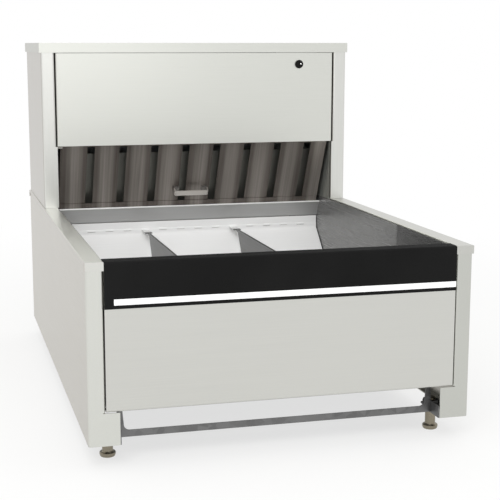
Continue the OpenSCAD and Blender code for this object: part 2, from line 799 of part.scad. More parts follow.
module duct_front_wall() {
    color("#8a8a8a") in_body() difference() {
        box([-inner_half, inner_half], [duct_y, duct_y + liner], [deck_low_z - liner / 2, hood_side_top - 0.6]);
        box([blower_x + scroll_r(scroll_from) * cos(scroll_from), blower_x + scroll_r(full_turn)],
            [duct_y - 1, duct_y + 3], [housing_z, housing_z + housing_h]);
        for (x = [heater_right, heater_far]) translate([x, 0, terminal_z])
            rod(tube_r + 0.1, [duct_y - 1, duct_y + 3]);
    }
}
module duct_side_wall() {
    z = deck_low_z + liner;
    color("#8a8a8a") in_body() along(duct_y + liner + 0.1, inner_rear_y - duct_y - liner - 0.1)
        fold([[duct_x, hood_side_top - 0.6], [duct_x, z], [inner_half - 0.3, z]], liner, liner);
}
// Heater tube: straight runs, half-turn bends, and two ends that pass through the duct's front wall
module tube_run(a, b, z) {
    translate([min(a, b), heater_y, z]) rotate([0, 90, 0]) cylinder(r = tube_r, h = abs(b - a), $fn = 24);
}
module tube_rise(x, z0, z1) {
    translate([x, heater_y, z0]) cylinder(r = tube_r, h = z1 - z0, $fn = 24);
}
module tube_turn(x, z, from, angle) {
    translate([x, heater_y, z]) rotate([90, 0, 0]) rotate(from) rotate_extrude(angle = angle)
        translate([run_pitch / 2, 0]) circle(tube_r, $fn = 24);
}
module tube_end(x) {
    r = run_pitch / 2;
    translate([x, heater_y - r, terminal_z - r]) rotate([0, 90, 0]) rotate([0, 0, 90]) rotate_extrude(angle = 90)
        translate([r, 0]) circle(tube_r, $fn = 24);
    translate([x, 0, terminal_z]) rod(tube_r, [duct_y - 14, heater_y - r], 24);
    translate([x, 0, terminal_z]) rod(1.6, [duct_y - 26, duct_y - 13], 24);
    translate([x, 0, terminal_z]) rod(tube_r + 2.5, [duct_y - 4, duct_y - 0.1], 6);
}
module heater_element() {
    r = run_pitch / 2;
    top_z = heater_z + (runs - 1) * run_pitch;
    color("#5b4a42") in_body() {
        tube_run(heater_left, heater_far - r, heater_z);
        tube_turn(heater_far - r, heater_z + r, 270, 90);
        tube_rise(heater_far, heater_z + r, terminal_z - r);
        tube_end(heater_far);
        for (i = [0:runs - 1]) if (i > 0) tube_run(heater_left, heater_right - r - 10, heater_z + i * run_pitch);
        for (i = [0:2:runs - 2]) tube_turn(heater_left, heater_z + (i + 0.5) * run_pitch, 90, 180);
        for (i = [1:2:runs - 3]) tube_turn(heater_right - r - 10, heater_z + (i + 0.5) * run_pitch, 270, 180);
        tube_run(heater_right - r - 10.1, heater_right - r, top_z);
        tube_turn(heater_right - r, top_z + r, 270, 90);
        tube_rise(heater_right, top_z + r, terminal_z - r);
        tube_end(heater_right);
    }
}
module element_clips() {
    color("#9a9a95") in_body() for (x = clip_xs) difference() {
        box([x - 0.8, x + 0.8], [duct_y + liner + 0.1, heater_y + 10], [heater_z - 12, heater_z + runs * run_pitch]);
        for (i = [0:runs - 1]) translate([x - 3, heater_y, heater_z + i * run_pitch]) rotate([0, 90, 0])
            cylinder(r = tube_r + 0.15, h = 6);
    }
}

// Controls on an upright bracket behind the access panel
module control_bracket() {
    z0 = deck_z + deck_t + hair;
    x = [bracket_x0, bracket_x0 + bracket_w];
    color("#9a9a95") in_body() difference() {
        union() {
            box(x, [bracket_y, bracket_y + bracket_t], [z0, z0 + bracket_h]);
            box(x, [bracket_y, bracket_y + 20], [z0, z0 + bracket_t]);
        }
        translate([knob_x, 0, control_z]) rod(collar_r + hair, [bracket_y - 1, bracket_y + 3]);
        box(about(rocker_x, housing_w / 2 + hair), [bracket_y - 1, bracket_y + 3],
            about(control_z, rocker_h / 2 + hair));
    }
}
module thermostat() {
    y0 = bracket_y + bracket_t + hair;
    color("#33363a") in_body() difference() {
        union() {
            box(about(knob_x, 21), [y0, y0 + 32], about(control_z, 19));
            translate([knob_x, 0, control_z]) rod(collar_r, [bracket_y - 6, y0 + 1]);
        }
        translate([knob_x, 0, control_z]) rod(shaft_r + running, [bracket_y - 7, bracket_y + 10], 24);
    }
}
module rocker_housing() {
    color("#26282a") in_body() difference() {
        union() {
            box(about(rocker_x, housing_w / 2 + 2), [bracket_y - 2, bracket_y - hair],
                about(control_z, rocker_h / 2 + 3));
            box(about(rocker_x, housing_w / 2), [bracket_y - 1, bracket_y + 22],
                about(control_z, rocker_h / 2));
        }
        box(about(rocker_x, rocker_w / 2 + 0.4), [bracket_y - 3, bracket_y + 9],
            about(control_z, rocker_h / 2 - 1.8));
    }
}
// Rocker: two flats that meet at a shallow angle, and one of them is pressed in
module rocker() {
    half = rocker_h / 2 - 3.3;
    color("#141414") in_body() translate([rocker_x, bracket_y + 4, control_z]) rotate([rocker_tilt, 0, 0])
        across(rocker_w) polygon([[-7.5, half], [-5.4, 0], [-7.5, -half], [2, -half + 2], [3.2, 0], [2, half - 2]]);
}
module terminal_block() {
    poles = 4;
    pitch = 13;
    color("#d8d4c8") in_body() translate([gland_x - 25, duct_y - 38, deck_z + deck_t + hair]) difference() {
        cube([poles * pitch + 3, 24, 16]);
        for (i = [0:poles - 1]) translate([3 + i * pitch, -1, 7]) cube([pitch - 3, 26, 12]);
    }
}
module high_limit() {
    color("#33363a") in_body() translate([limit_x, duct_y, limit_z]) difference() {
        union() {
            rod(9, [-12, -hair], 32);
            box([-18, 18], [-2, -hair], [-5, 5]);
        }
        pair() translate([14, 0, 0]) rod(1.8, [-3, 1], 16);
    }
}
module thermostat_knob() {
    color("#1d1d1d") in_body() translate([knob_x, 0, control_z]) {
        difference() {
            union() {
                rod(knob_r, [bracket_y - 11, bracket_y - 6.4], 48);
                rod(knob_r - 4, [bracket_y - 21, bracket_y - 10], 48);
            }
            for (i = [0:11]) rotate([0, i * 30, 0]) translate([knob_r - 2.6, 0, 0]) rod(2, [bracket_y - 22, bracket_y - 11], 16);
            box([-0.7, 0.7], [bracket_y - 22, bracket_y - 20.4], [0, knob_r]);
        }
        rod(shaft_r, [bracket_y - 8, bracket_y + 8], 24);
    }
}

module hood_rear_panel() {
    color("#c6c4c0") in_body() difference() {
        box([-rear_half, rear_half], [rear_panel_y, rear_panel_y + skin], [hood_z + 1, hood_side_top - 0.5]);
        pair() screw_holes(hood_screw_zs);
        translate([gland_x, 0, gland_z]) rod(8, [rear_panel_y - 1, rear_panel_y + 3]);
        for (i = [0:vent_rows - 1]) for (x = [vent_x, vent_x + vent_w + 12]) translate([x, 0, vent_z + i * vent_pitch])
            box([0, vent_w], [rear_panel_y - 1, rear_panel_y + 3], [0, vent_h]);
    }
}
module cable_gland() {
    y0 = rear_panel_y;
    color("#2a2a2a") in_body() translate([gland_x, 0, gland_z]) difference() {
        union() {
            rod(7.9, [y0 - 10, y0 + 2]);
            rod(11, [y0 + skin + hair, y0 + skin + 5], 6);
            rod(8.6, [y0 + skin + 4, y0 + skin + 10]);
            rod(11, [y0 - 5, y0 - 0.1], 6);
        }
        rod(gland_bore_r, [y0 - 12, y0 + 20]);
    }
}

// Access panel: a shallow pan that swings on two pins at its left edge. Its hinge corner is rounded about the
// lower pin and the return above it is cut short, clear of the filter, lowered or lifted
module access_panel() {
    mid_y = hood_face_y + skin / 2;
    returns = [hood_face_y + skin / 2, hood_face_y + return_d];
    inner = access_half - skin / 2;
    relief_z = filter_top_z + filter_lift + 2;
    color("#cfcfca") in_body() difference() {
        union() {
            translate([0, 0, access_z]) linear_extrude(access_top_z - access_z)
                fold([[-inner, returns[1]], [-inner, mid_y], [inner, mid_y], [inner, returns[1]]], skin, bend_r);
            for (z = [access_z, access_top_z - skin]) box([-inner, inner], [mid_y + 1, returns[1]], [z, z + skin]);
        }
        difference() {
            box([-access_half - 1, -hinge_x], [hinge_y, hinge_y + return_d], [access_z - 1, relief_z]);
            translate([-hinge_x, hinge_y, access_z - 2]) cylinder(r = pin_r + 1.3, h = skin + 2);
        }
        translate([-hinge_x, hinge_y, access_z - 1]) cylinder(r = pin_r + running, h = 4);
        translate([-hinge_x, hinge_y, access_top_z - 3]) cylinder(r = pin_r + running, h = 4);
        translate([lock_x, 0, lock_z]) rod(barrel_r + running, [hood_face_y - 1, hood_face_y + 3]);
    }
}
module panel_pins() {
    head_h = 1;
    head_r = pin_r + 0.9;
    low_z = tab_z - skin;
    color("#a5a5a0") in_body() translate([-hinge_x, hinge_y, 0]) {
        translate([0, 0, low_z - head_h - hair]) cylinder(r = head_r, h = head_h);
        translate([0, 0, low_z - head_h]) cylinder(r = pin_r, h = skin + 6);
        translate([0, 0, rail_low_z - 5]) cylinder(r = pin_r, h = skin + 5.3);
    }
}
module lock_body() {
    back_y = hood_face_y + skin;
    color("#c9c9c6") in_body() translate([lock_x, 0, lock_z]) difference() {
        union() {
            rod(lock_r, [hood_face_y - 1.8, hood_face_y - hair]);
            rod(barrel_r, [hood_face_y - 1, cam_y - 0.2]);
            rod(lock_r + 2.6, [back_y + hair, back_y + 3], 6);
        }
        rod(plug_r + running, [hood_face_y - 3, cam_y + 1]);
    }
}
// The plug turns in the lock's body and carries the cam, which lies level while the panel is unlocked
module lock_plug() {
    color("#b9b9b6") in_body() translate([lock_x, 0, lock_z]) {
        difference() {
            rod(plug_r, [hood_face_y - 2.1, cam_y + 0.4]);
            box([-0.6, 0.6], [hood_face_y - 3, hood_face_y - 0.6], [-3, 3]);
        }
        box([-15.5, 6], [cam_y, cam_y + 2], [-6, 6]);
        rod(3.8, [cam_y + 1, cam_y + 4.6], 6);
    }
}
module screws() {
    color("#b5b5b0") in_body() for (zs = [base_screw_zs, hood_screw_zs]) for (z = zs)
        pair() translate([screw_x, 0, z]) {
            rod(screw_head_r, [rear_panel_y + skin + 0.05, rear_panel_y + skin + screw_head_h], 24);
            rod(screw_r, [flange_y - 3.5, rear_panel_y + skin + 1], 24);
        }
}

side_panel_left();
side_panel_right();
rail_cap_left();
rail_cap_right();
front_panel();
fascia();
toe_rail();
foot_nut_plates();
foot_front_left();
foot_front_right();
foot_rear_left();
foot_rear_right();
basin_wall_left();
basin_wall_right();
basin_front_wall();
plenum_floor();
screen_ledges();
food_screen();
divider_left();
divider_right();
crumb_tray();
base_rear_panel();
filter_ledge();
filter_rest();
filter_channel();
filter_frame();
front_baffles();
rear_baffles();
filter_handle();
hood_side_left();
hood_side_right();
hood_top();
hood_rail();
hood_liner_left();
hood_liner_right();
blower_deck();
inlet_ring();
blower_housing();
blower_lid();
blower_wheel();
motor();
motor_legs();
duct_front_wall();
duct_side_wall();
heater_element();
element_clips();
control_bracket();
thermostat();
thermostat_knob();
rocker_housing();
rocker();
terminal_block();
high_limit();
hood_rear_panel();
cable_gland();
access_panel();
panel_pins();
lock_body();
lock_plug();
screws();
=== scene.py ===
import json
import math

import bmesh
import bpy
from mathutils import Matrix, Vector


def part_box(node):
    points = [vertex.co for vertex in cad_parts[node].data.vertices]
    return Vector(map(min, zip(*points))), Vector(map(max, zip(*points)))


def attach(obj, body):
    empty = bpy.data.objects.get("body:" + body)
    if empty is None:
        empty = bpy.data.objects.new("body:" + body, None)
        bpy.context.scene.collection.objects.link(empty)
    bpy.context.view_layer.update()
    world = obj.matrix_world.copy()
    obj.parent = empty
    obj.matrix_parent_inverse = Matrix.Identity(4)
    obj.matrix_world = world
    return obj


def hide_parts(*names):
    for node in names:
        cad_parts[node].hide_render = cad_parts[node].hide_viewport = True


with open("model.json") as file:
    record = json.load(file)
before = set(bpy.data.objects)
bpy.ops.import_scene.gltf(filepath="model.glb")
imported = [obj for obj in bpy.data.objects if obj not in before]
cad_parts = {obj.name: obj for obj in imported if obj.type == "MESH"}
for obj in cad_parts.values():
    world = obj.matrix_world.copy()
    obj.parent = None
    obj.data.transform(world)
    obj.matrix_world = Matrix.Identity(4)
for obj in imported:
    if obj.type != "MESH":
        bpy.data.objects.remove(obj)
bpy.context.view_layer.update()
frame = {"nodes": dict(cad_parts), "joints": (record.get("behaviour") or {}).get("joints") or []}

scene = bpy.context.scene
mm = 0.001
sameMetres = 1e-6  # two places closer than this are one
alongX, alongY, alongZ = 0, 1, 2
jointPlace = {joint["name"]: joint.get("pos_m") for joint in frame["joints"]}

# Sockets of a Mix node that mixes colours
mixPart, mixFirst, mixSecond, mixResult = 0, 6, 7, 2
# Noise keeps to the middle of its range, so only this part of it is spread over the two tones of a finish
noiseSpan = {"From Min": 0.3, "From Max": 0.7}
cloudSpan = {"From Min": 0.35, "From Max": 0.65}


def hexToLinear(code):
    channels = [int(code[i:i + 2], 16) / 255 for i in (1, 3, 5)]
    return tuple(c / 12.92 if c <= 0.04045 else ((c + 0.055) / 1.055) ** 2.4 for c in channels) + (1.0,)


# Adds one node, sets its properties and inputs, and links the sockets given as inputs
def addNode(tree, kind, inputs=None, **settings):
    node = tree.nodes.new(kind)
    for key, value in settings.items():
        setattr(node, key, value)
    for key, value in (inputs or {}).items():
        if isinstance(value, bpy.types.NodeSocket):
            tree.links.new(value, node.inputs[key])
        else:
            node.inputs[key].default_value = value
    return node


def newMaterial(name, shaderValues):
    material = bpy.data.materials.new(name)
    material.use_nodes = True
    tree = material.node_tree
    tree.nodes.clear()
    shader = addNode(tree, "ShaderNodeBsdfPrincipled", shaderValues)
    addNode(tree, "ShaderNodeOutputMaterial", {"Surface": shader.outputs[0]})
    return material, tree, shader


# Gives a shader its tone. The relief, a pattern, makes it rougher and smoother and breaks up its highlights.
def linkSurface(tree, shader, tone, relief, span, settings):
    low, high = settings["roughness"]
    rough = addNode(tree, "ShaderNodeMapRange", {"Value": relief, **span, "To Min": low,
                                                 "To Max": high}).outputs[0]
    bump = addNode(tree, "ShaderNodeBump", {"Height": relief, "Strength": settings["bump"],
                                            "Distance": settings["depthMm"] * mm}).outputs[0]
    for socket, value in (("Base Color", tone), ("Roughness", rough), ("Normal", bump)):
        tree.links.new(value, shader.inputs[socket])


# Paints shade: multiplies the tone by a colour past a place on an axis, as painted shade on the face round a
# corner or on a part that lies in shade. The shade is given as an axis, a place on it, how many mm from there
# the change starts and ends, and the colour, which may be a little warm.
def shadePastEdge(tree, place, tone, edge):
    axis, origin, startMm, endMm, colour = edge
    axes = addNode(tree, "ShaderNodeSeparateXYZ", {"Vector": place})
    part = addNode(tree, "ShaderNodeMapRange", {"Value": axes.outputs[axis],
                                                "From Min": origin + startMm * mm,
                                                "From Max": origin + endMm * mm},
                   interpolation_type="SMOOTHSTEP").outputs[0]
    return addNode(tree, "ShaderNodeMix", {mixPart: part, mixFirst: tone, mixSecond: hexToLinear(colour)},
                   data_type="RGBA", blend_type="MULTIPLY").outputs[mixResult]


# Paints shade: multiplies the tone by a colour in a soft band at every pitch from left to right, as painted
# shade along each fold
def shadeInBands(tree, place, tone, bands):
    fadeIn = {"From Min": -0.97, "From Max": 0.5}  # the part of a wave, from -1 to 1, where a band fades in
    across = addNode(tree, "ShaderNodeSeparateXYZ", {"Vector": place}).outputs[alongX]
    turns = addNode(tree, "ShaderNodeMath", {0: across, 1: 2 * math.pi / (bands["pitchMm"] * mm),
                                             2: -2 * math.pi * bands["startMm"] / bands["pitchMm"]},
                    operation="MULTIPLY_ADD").outputs[0]
    wave = addNode(tree, "ShaderNodeMath", {0: turns}, operation="COSINE").outputs[0]
    part = addNode(tree, "ShaderNodeMapRange", {"Value": wave, **fadeIn},
                   interpolation_type="SMOOTHSTEP").outputs[0]
    return addNode(tree, "ShaderNodeMix", {mixPart: part, mixFirst: tone,
                                           mixSecond: hexToLinear(bands["colour"])},
                   data_type="RGBA", blend_type="MULTIPLY").outputs[mixResult]


# Paints a level stripe with sharp edges, from its left end to the right end of the sheet
def toneInStripe(tree, place, tone, stripe):
    axes = addNode(tree, "ShaderNodeSeparateXYZ", {"Vector": place})
    limits = ((alongZ, stripe["bottom"], "GREATER_THAN"), (alongZ, stripe["top"], "LESS_THAN"),
              (alongX, stripe["left"], "GREATER_THAN"))
    part = 1.0
    for axis, limit, test in limits:
        inside = addNode(tree, "ShaderNodeMath", {0: axes.outputs[axis], 1: limit}, operation=test).outputs[0]
        part = addNode(tree, "ShaderNodeMath", {0: inside, 1: part}, operation="MULTIPLY").outputs[0]
    return addNode(tree, "ShaderNodeMix", {mixPart: part, mixFirst: tone,
                                           mixSecond: hexToLinear(stripe["colour"])},
                   data_type="RGBA").outputs[mixResult]


# Rolled and brushed stainless steel: fine straight scratches along one axis stretch the highlights, and the
# rolling leaves broad, very faint clouds. The real scratches are 0.05 mm apart; here they are drawn wider
# (grainMm), so that they show. A scratch is grainLength times as long as it is wide. Sheets inside the basin
# and the hood are less metallic than the outer ones, so that they keep their own grey instead of mirroring
# only the white room.
steelSurface = {"grainMm": 0.9, "grainLength": 90, "grainAxes": (alongX,), "cloudMm": 220, "cloudShare": 0.5,
                "roughness": (0.28, 0.36), "bump": 0.08, "depthMm": 0.05, "metallic": 1.0}


def brushedSteel(name, dark, light, **changes):
    settings = {**steelSurface, **changes}
    material, tree, shader = newMaterial(name, {"Metallic": settings["metallic"]})
    place = addNode(tree, "ShaderNodeTexCoord").outputs["Object"]
    across = 1 / (settings["grainMm"] * mm)
    scale = [across / settings["grainLength"] if axis in settings["grainAxes"] else across
             for axis in (alongX, alongY, alongZ)]
    streaks = addNode(tree, "ShaderNodeMapping", {"Vector": place, "Scale": scale}).outputs[0]
    grain = addNode(tree, "ShaderNodeTexNoise", {"Vector": streaks, "Scale": 1.0, "Detail": 4.0,
                                                 "Roughness": 0.65}).outputs[0]
    clouds = addNode(tree, "ShaderNodeTexNoise", {"Vector": place, "Scale": 1 / (settings["cloudMm"] * mm),
                                                  "Detail": 2.0}).outputs[0]
    grainPart = addNode(tree, "ShaderNodeMapRange", {"Value": grain, **noiseSpan}).outputs[0]
    cloudPart = addNode(tree, "ShaderNodeMapRange", {"Value": clouds, **cloudSpan,
                                                     "To Max": settings["cloudShare"]}).outputs[0]
    tone = addNode(tree, "ShaderNodeMix", {mixPart: grainPart, mixFirst: hexToLinear(dark),
                                           mixSecond: hexToLinear(light)},
                   data_type="RGBA").outputs[mixResult]
    tone = addNode(tree, "ShaderNodeMix", {mixPart: cloudPart, mixFirst: tone, mixSecond: hexToLinear(light)},
                   data_type="RGBA").outputs[mixResult]
    if "edge" in settings:
        tone = shadePastEdge(tree, place, tone, settings["edge"])
    if "bands" in settings:
        tone = shadeInBands(tree, place, tone, settings["bands"])
    linkSurface(tree, shader, tone, grain, noiseSpan, settings)
    return material


# Enamel baked on sheet: an even colour, a slight orange peel and soft broad highlights. The peel is about
# 2 mm across, as it is on the real thing.
enamelSurface = {"cloudMm": 90, "bump": 0.12, "depthMm": 0.08, "ior": 1.5}


def enamel(name, dark, light, **changes):
    settings = {**enamelSurface, **changes}
    material, tree, shader = newMaterial(name, {"IOR": settings["ior"],
                                                "Specular IOR Level": settings["shine"]})
    place = addNode(tree, "ShaderNodeTexCoord").outputs["Object"]
    peel = addNode(tree, "ShaderNodeTexNoise", {"Vector": place, "Scale": 1 / (settings["peelMm"] * mm),
                                                "Detail": 2.0}).outputs[0]
    clouds = addNode(tree, "ShaderNodeTexNoise", {"Vector": place, "Scale": 1 / (settings["cloudMm"] * mm),
                                                  "Detail": 2.0}).outputs[0]
    cloudPart = addNode(tree, "ShaderNodeMapRange", {"Value": clouds, **cloudSpan}).outputs[0]
    tone = addNode(tree, "ShaderNodeMix", {mixPart: cloudPart, mixFirst: hexToLinear(dark),
                                           mixSecond: hexToLinear(light)},
                   data_type="RGBA").outputs[mixResult]
    if "edge" in settings:
        tone = shadePastEdge(tree, place, tone, settings["edge"])
    if "stripe" in settings:
        tone = toneInStripe(tree, place, tone, settings["stripe"])
    linkSurface(tree, shader, tone, peel, noiseSpan, settings)
    return material


# Moulded plastic: the mould's spark-eroded texture breaks up the highlight. The real grit is 0.1 mm; here it
# is drawn about 0.8 mm across, so that it shows.
plasticSurface = {"bump": 0.3, "depthMm": 0.1, "ior": 1.46}


def mouldedPlastic(name, dark, light, **changes):
    settings = {**plasticSurface, **changes}
    material, tree, shader = newMaterial(name, {"IOR": settings["ior"]})
    place = addNode(tree, "ShaderNodeTexCoord").outputs["Object"]
    grit = addNode(tree, "ShaderNodeTexNoise", {"Vector": place, "Scale": 1 / (settings["gritMm"] * mm),
                                                "Detail": 3.0, "Roughness": 0.6}).outputs[0]
    gritPart = addNode(tree, "ShaderNodeMapRange", {"Value": grit, **noiseSpan}).outputs[0]
    tone = addNode(tree, "ShaderNodeMix", {mixPart: gritPart, mixFirst: hexToLinear(dark),
                                           mixSecond: hexToLinear(light)},
                   data_type="RGBA").outputs[mixResult]
    linkSurface(tree, shader, tone, grit, noiseSpan, settings)
    return material


# Hot-dip galvanised steel: flat grey crystals of zinc about 9 mm across, each a little lighter or darker
# than the next
zincSurface = {"crystalMm": 9, "roughness": (0.38, 0.5), "bump": 0.1, "depthMm": 0.05, "metallic": 1.0}


def galvanisedSteel(name, dark, light, **changes):
    settings = {**zincSurface, **changes}
    material, tree, shader = newMaterial(name, {"Metallic": settings["metallic"]})
    place = addNode(tree, "ShaderNodeTexCoord").outputs["Object"]
    scale = 1 / (settings["crystalMm"] * mm)
    crystals = addNode(tree, "ShaderNodeTexVoronoi", {"Vector": place, "Scale": scale}).outputs["Color"]
    shade = addNode(tree, "ShaderNodeSeparateColor", {"Color": crystals}).outputs[0]
    tone = addNode(tree, "ShaderNodeMix", {mixPart: shade, mixFirst: hexToLinear(dark),
                                           mixSecond: hexToLinear(light)},
                   data_type="RGBA").outputs[mixResult]
    linkSurface(tree, shader, tone, shade, {}, settings)
    return material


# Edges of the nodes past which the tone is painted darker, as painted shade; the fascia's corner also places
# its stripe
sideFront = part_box("side_panel_left")[0].y
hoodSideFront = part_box("hood_side_left")[0].y
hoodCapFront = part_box("hood_top")[0].y
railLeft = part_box("rail_cap_left")[0].x
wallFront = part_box("basin_wall_left")[0].y
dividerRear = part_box("divider_left")[1].y
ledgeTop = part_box("filter_ledge")[1].z
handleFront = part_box("filter_handle")[0].y
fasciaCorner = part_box("fascia")[0]

finishes = [
    # Outer sheets: pale satin with a fine grain. The faces round the front corners, the left rail cap's outer
    # face and the hood cap's top behind its front are painted a little darker and warmer, as painted shade.
    brushedSteel("brushedStainlessSide", "#d0d1cb", "#d8d9d3", grainAxes=(alongY,),
                 edge=(alongY, sideFront, 1.3, 2.7, "#e4dfdc")),
    # The right side is a darker copy of the same steel: painted shade.
    brushedSteel("paintedShadeStainlessRightSide", "#c0c1bb", "#c8c9c3", grainAxes=(alongY,),
                 edge=(alongY, sideFront, 1.3, 2.7, "#f6f1ee")),
    brushedSteel("brushedStainlessFront", "#ccccc7", "#d0d0cb", bump=0.04),
    brushedSteel("brushedStainlessRail", "#cecec9", "#d8d8d3", grainAxes=(alongY,), roughness=(0.32, 0.4),
                 edge=(alongX, railLeft, 1.3, 0.5, "#eae6e4")),
    # The right rail cap is a darker copy of the rail's steel: painted shade.
    brushedSteel("paintedShadeStainlessRightRail", "#c1c1bb", "#cacac5", grainAxes=(alongY,),
                 roughness=(0.32, 0.4)),
    brushedSteel("brushedStainlessHood", "#d1d2cc", "#d5d6d0", bump=0.04),
    brushedSteel("brushedStainlessHoodCap", "#d1d2cc", "#d5d6d0", bump=0.04,
                 edge=(alongY, hoodCapFront, 0.2, 1.0, "#e2e1df")),
    brushedSteel("brushedStainlessHoodSide", "#d2d3ce", "#d9d9d5", grainAxes=(alongZ,),
                 edge=(alongY, hoodSideFront, 0.4, 1.3, "#dfdbd8")),
    # Inner sheets: smoother and greyer, with tight reflections. The basin's front end is painted darker, as
    # painted shade of the fascia.
    brushedSteel("polishedStainlessBasin", "#7d7d7c", "#80807f", grainAxes=(alongY,), grainMm=2.5,
                 roughness=(0.26, 0.28), bump=0.01, metallic=0.45,
                 edge=(alongY, wallFront, 168.6, 156.6, "#a2a2a2")),
    brushedSteel("polishedStainlessFrontWall", "#9f9f9d", "#a3a3a1", grainMm=2.5, roughness=(0.26, 0.28),
                 bump=0.01, metallic=0.5),
    brushedSteel("polishedStainlessLiner", "#a6a9a3", "#b3b6b0", grainAxes=(alongZ,), roughness=(0.16, 0.26),
                 metallic=0.6),
    # Food side: satin sheets, nearly white. The screen's near white, with little metal, is painted light that
    # keeps it white in the basin's shade. The dividers' faces are painted dark, as painted shade, and their
    # rear tongues stay pale, as painted light over their shadow. The ledge is painted darker below its hem, as
    # painted shade.
    brushedSteel("paintedLightStainlessScreen", "#f8f8f7", "#fdfdfc", roughness=(0.55, 0.65), metallic=0.08),
    brushedSteel("satinStainlessDivider", "#d8d8d7", "#e4e4e3", grainAxes=(alongY,), metallic=0.7,
                 edge=(alongY, dividerRear, -29.4, -31.4, "#6a6a6a")),
    brushedSteel("satinStainlessStrip", "#f2f2f1", "#fbfbfa", metallic=0.5,
                 edge=(alongZ, ledgeTop, -1.8, -2.6, "#b8b8b8")),
    brushedSteel("deepDrawnStainlessTray", "#a9a9a6", "#bfbfbb", grainAxes=(alongY,)),
    # Filter: brown-grey, and painted darker along the folds of each baffle, as painted shade. Its handle stays
    # pale, and the handle's legs behind the bar are painted darker, as painted shade.
    brushedSteel("brownGreyStainlessBaffle", "#79736d", "#9b958f", grainAxes=(alongY, alongZ), grainMm=3.5,
                 grainLength=70, roughness=(0.3, 0.42), metallic=0.6,
                 bands={"pitchMm": 46.8, "startMm": -156.4, "colour": "#b8b4b2"}),
    brushedSteel("greyStainlessRearBaffle", "#70706a", "#7e7e77", grainAxes=(alongY, alongZ),
                 roughness=(0.3, 0.42), metallic=0.5),
    brushedSteel("bentStainlessHandle", "#cdc8c2", "#d9d4ce", metallic=0.7,
                 edge=(alongY, handleFront, 6.5, 9.5, "#959595")),
    # Small metal parts: short, coarse turning marks, from nearly black and glossy to bright
    brushedSteel("blackenedZincLock", "#1c1c1b", "#262625", grainMm=1.0, grainLength=3,
                 roughness=(0.16, 0.22)),
    # The lock dot's bright nickel is a painted highlight of the lock.
    brushedSteel("nickelLockPaintedHighlight", "#dededc", "#ececea", grainMm=1.0, grainLength=3,
                 roughness=(0.08, 0.12)),
    brushedSteel("brightZincPlate", "#a8a8a2", "#c4c4be", grainMm=1.0, grainLength=4),
    # The feet are grey nickel with a warm brown cast, which is painted reflection of a warm floor.
    brushedSteel("nickelFootPaintedReflection", "#7f786a", "#979080", grainMm=1.0, grainLength=3),
    # Sheath of the heater: dull brown mottled scale from its own heat
    brushedSteel("annealedNickelSheath", "#4a3b33", "#6b5a50", grainMm=2.0, grainLength=2,
                 roughness=(0.4, 0.55)),
    # Painted sheets: the fascia is nearly matt, and its upper return is painted darker, as painted shade; the
    # motor's paint has more shine
    enamel("satinBlackEnamel", "#151515", "#1a1a1a", peelMm=2.2, shine=0.1, roughness=(0.7, 0.8),
           edge=(alongY, fasciaCorner.y, 1.5, 3.5, "#808080"),
           stripe={"bottom": fasciaCorner.z + 4.1 * mm, "top": fasciaCorner.z + 10.9 * mm,
                   "left": fasciaCorner.x + 10.5 * mm, "colour": "#ffffff"}),
    enamel("bakedGreyEnamel", "#44484b", "#53585c", peelMm=1.6, shine=0.5, roughness=(0.45, 0.55)),
    # Zinc-coated sheets inside and below: flat grey crystals. Below the front they are darker, and the nut
    # plates' dark grey is painted shade.
    galvanisedSteel("galvanisedSteel", "#8c8f90", "#a9acad"),
    galvanisedSteel("galvanisedToeRail", "#6d6d6d", "#7e7e7e"),
    galvanisedSteel("galvanisedNutPlatePaintedShade", "#505050", "#606060"),
    # Mouldings: black and cream, with a soft sheen and a fine grit
    mouldedPlastic("blackNylon", "#1d1f21", "#2a2c2f", gritMm=0.8, roughness=(0.44, 0.56)),
    mouldedPlastic("blackPhenolic", "#141414", "#1e1e1e", gritMm=0.9, roughness=(0.29, 0.41)),
    mouldedPlastic("creamUrea", "#cfcabd", "#ded9cc", gritMm=0.8, roughness=(0.39, 0.51)),
]
materials = {finish.name: finish for finish in finishes}
nodesOfFinish = {
    "brushedStainlessSide": ["side_panel_left", "base_rear_panel", "hood_rear_panel"],
    "paintedShadeStainlessRightSide": ["side_panel_right"],
    "brushedStainlessFront": ["front_panel"],
    "brushedStainlessRail": ["rail_cap_left"],
    "paintedShadeStainlessRightRail": ["rail_cap_right"],
    "brushedStainlessHood": ["access_panel", "hood_rail"],
    "brushedStainlessHoodCap": ["hood_top"],
    "brushedStainlessHoodSide": ["hood_side_left", "hood_side_right"],
    "polishedStainlessBasin": ["basin_wall_left", "basin_wall_right", "screen_ledges"],
    "polishedStainlessFrontWall": ["basin_front_wall"],
    "polishedStainlessLiner": ["hood_liner_left", "hood_liner_right", "filter_channel"],
    "paintedLightStainlessScreen": ["food_screen"],
    "satinStainlessDivider": ["divider_left", "divider_right"],
    "satinStainlessStrip": ["filter_ledge", "filter_rest"],
    "deepDrawnStainlessTray": ["crumb_tray"],
    "brownGreyStainlessBaffle": ["front_baffles", "filter_frame"],
    "greyStainlessRearBaffle": ["rear_baffles"],
    "bentStainlessHandle": ["filter_handle"],
    "blackenedZincLock": ["lock_body", "lock_plug", "panel_pins"],
    "brightZincPlate": ["blower_wheel", "motor_legs", "screws"],
    "nickelFootPaintedReflection": ["foot_front_left", "foot_front_right", "foot_rear_left", "foot_rear_right"],
    "annealedNickelSheath": ["heater_element"],
    "satinBlackEnamel": ["fascia"],
    "bakedGreyEnamel": ["motor"],
    "galvanisedSteel": ["plenum_floor", "blower_deck", "inlet_ring", "blower_housing", "blower_lid",
                        "duct_front_wall", "duct_side_wall", "element_clips", "control_bracket"],
    "galvanisedToeRail": ["toe_rail"],
    "galvanisedNutPlatePaintedShade": ["foot_nut_plates"],
    "blackNylon": ["thermostat", "rocker_housing", "high_limit", "cable_gland"],
    "blackPhenolic": ["thermostat_knob", "rocker"],
    "creamUrea": ["terminal_block"],
}
